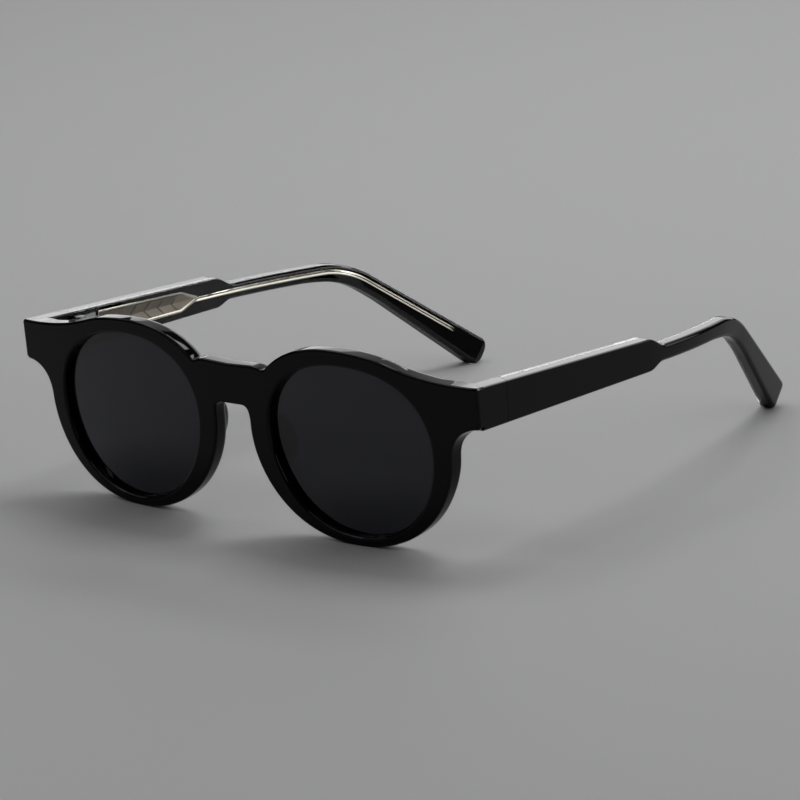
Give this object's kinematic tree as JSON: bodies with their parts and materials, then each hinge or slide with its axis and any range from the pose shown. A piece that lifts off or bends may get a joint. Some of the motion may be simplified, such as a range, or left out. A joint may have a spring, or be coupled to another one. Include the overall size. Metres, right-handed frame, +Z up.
{
  "type": "folding sunglasses frame",
  "caption": "Rounded panto sunglasses in glossy black acetate with smoke lenses, notched brow and folding temples that show metal cores.",
  "frame": {"origin": "centre of the box round the open frame, on the table that it stands on", "axes": "+X to the wearer's left, -Y the way the lenses face, +Y back along the temples, +Z up"},
  "size_m": [0.141, 0.1514, 0.0467],
  "materials": {
    "black_acetate": "polished",
    "clear_acetate": "polished",
    "smoke_lens": "polished",
    "nickel": "satin",
    "steel": "satin"
  },
  "bodies": {
    "frame": {"front_frame": "black_acetate", "lens_left": "smoke_lens", "lens_right": "smoke_lens", "nose_pad_left": "black_acetate", "nose_pad_right": "black_acetate", "front_hinge_left": "steel", "front_hinge_right": "steel", "hinge_screw_left": "steel", "hinge_screw_right": "steel"},
    "temple_left": {"temple_shell_left": "black_acetate", "temple_lining_left": "clear_acetate", "temple_core_left": "nickel", "temple_hinge_left": "steel"},
    "temple_right": {"temple_shell_right": "black_acetate", "temple_lining_right": "clear_acetate", "temple_core_right": "nickel", "temple_hinge_right": "steel"}
  },
  "joints": [
    {"name": "temple_fold_left", "type": "hinge", "parent": "frame", "child": "temple_left", "pos_m": [0.0646, -0.05739, 0.03589], "axis": [0, 0, 1], "range_deg": [0, 86]},
    {"name": "temple_fold_right", "type": "hinge", "parent": "frame", "child": "temple_right", "pos_m": [-0.0646, -0.05739, 0.03589], "axis": [0, 0, 1], "range_deg": [-80, 0]}
  ]
}
